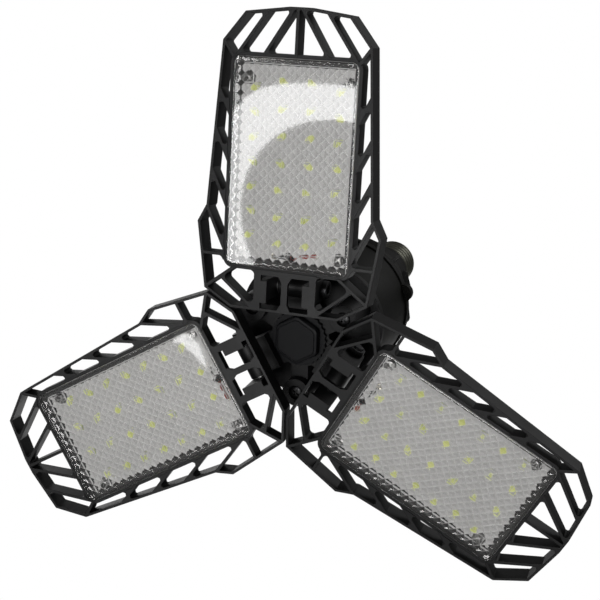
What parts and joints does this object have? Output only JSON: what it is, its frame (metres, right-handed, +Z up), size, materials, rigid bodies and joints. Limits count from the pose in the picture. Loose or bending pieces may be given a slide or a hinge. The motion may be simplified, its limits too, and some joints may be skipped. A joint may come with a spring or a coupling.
{
  "type": "folding garage light",
  "caption": "Three-panel folding LED light on a screw base: open slanted-rib frames round ribbed clear lenses, each hinged to a central hub under a round driver housing.",
  "frame": {"origin": "on the light's axis, at the lower rim of the screw shell", "axes": "+Z up along the screw base into the lampholder; -Y towards the front panel, which is the upper one in the picture"},
  "size_m": [0.3013, 0.269, 0.203],
  "materials": {
    "frame_paint": "satin",
    "hub_paint": "satin",
    "housing_plastic": "satin",
    "cap_plastic": "satin",
    "ring_plastic": "matte",
    "lens_clear": "gloss",
    "board_white": "satin",
    "chip_phosphor": "satin",
    "seal_rubber": "matte",
    "lead_red": "satin",
    "screw_steel": "satin",
    "bolt_black": "satin",
    "base_metal": "satin",
    "base_glass": "gloss",
    "contact_brass": "satin",
    "driver_laminate": "satin",
    "driver_casings": "satin"
  },
  "bodies": {
    "hub": {"screw_shell": "base_metal", "base_insulator": "base_glass", "centre_contact": "contact_brass", "base_collar": "housing_plastic", "driver_housing": "housing_plastic", "housing_cone": "housing_plastic", "housing_cover": "hub_paint", "lug_screws": "screw_steel", "hub_body": "hub_paint", "lock_ring": "ring_plastic", "hex_cap": "cap_plastic", "post_screws": "screw_steel", "driver_board": "driver_laminate", "driver_parts": "driver_casings", "hub_grommets": "seal_rubber"},
    "panel_front": {"frame_front": "frame_paint", "lens_front": "lens_clear", "gasket_front": "seal_rubber", "light_board_front": "board_white", "chips_front": "chip_phosphor", "board_screws_front": "screw_steel", "lead_grommet_front": "seal_rubber", "lead_ends_front": "lead_red", "hinge_bolt_front": "bolt_black", "hinge_nut_front": "bolt_black", "washers_front": "screw_steel"},
    "panel_right": {"frame_right": "frame_paint", "lens_right": "lens_clear", "gasket_right": "seal_rubber", "light_board_right": "board_white", "chips_right": "chip_phosphor", "board_screws_right": "screw_steel", "lead_grommet_right": "seal_rubber", "lead_ends_right": "lead_red", "hinge_bolt_right": "bolt_black", "hinge_nut_right": "bolt_black", "washers_right": "screw_steel"},
    "panel_left": {"frame_left": "frame_paint", "lens_left": "lens_clear", "gasket_left": "seal_rubber", "light_board_left": "board_white", "chips_left": "chip_phosphor", "board_screws_left": "screw_steel", "lead_grommet_left": "seal_rubber", "lead_ends_left": "lead_red", "hinge_bolt_left": "bolt_black", "hinge_nut_left": "bolt_black", "washers_left": "screw_steel"}
  },
  "joints": [
    {"name": "front_fold", "type": "hinge", "parent": "hub", "child": "panel_front", "pos_m": [0, -0.0276, -0.1383], "axis": [-1, 0, 0], "range_deg": [-4.9, 84.6]},
    {"name": "right_fold", "type": "hinge", "parent": "hub", "child": "panel_right", "pos_m": [0.0239, 0.0138, -0.1383], "axis": [0.5, -0.866, 0], "range_deg": [-3.7, 85.8]},
    {"name": "left_fold", "type": "hinge", "parent": "hub", "child": "panel_left", "pos_m": [-0.0239, 0.0138, -0.1383], "axis": [0.5, 0.866, 0], "range_deg": [0, 96.7]}
  ]
}
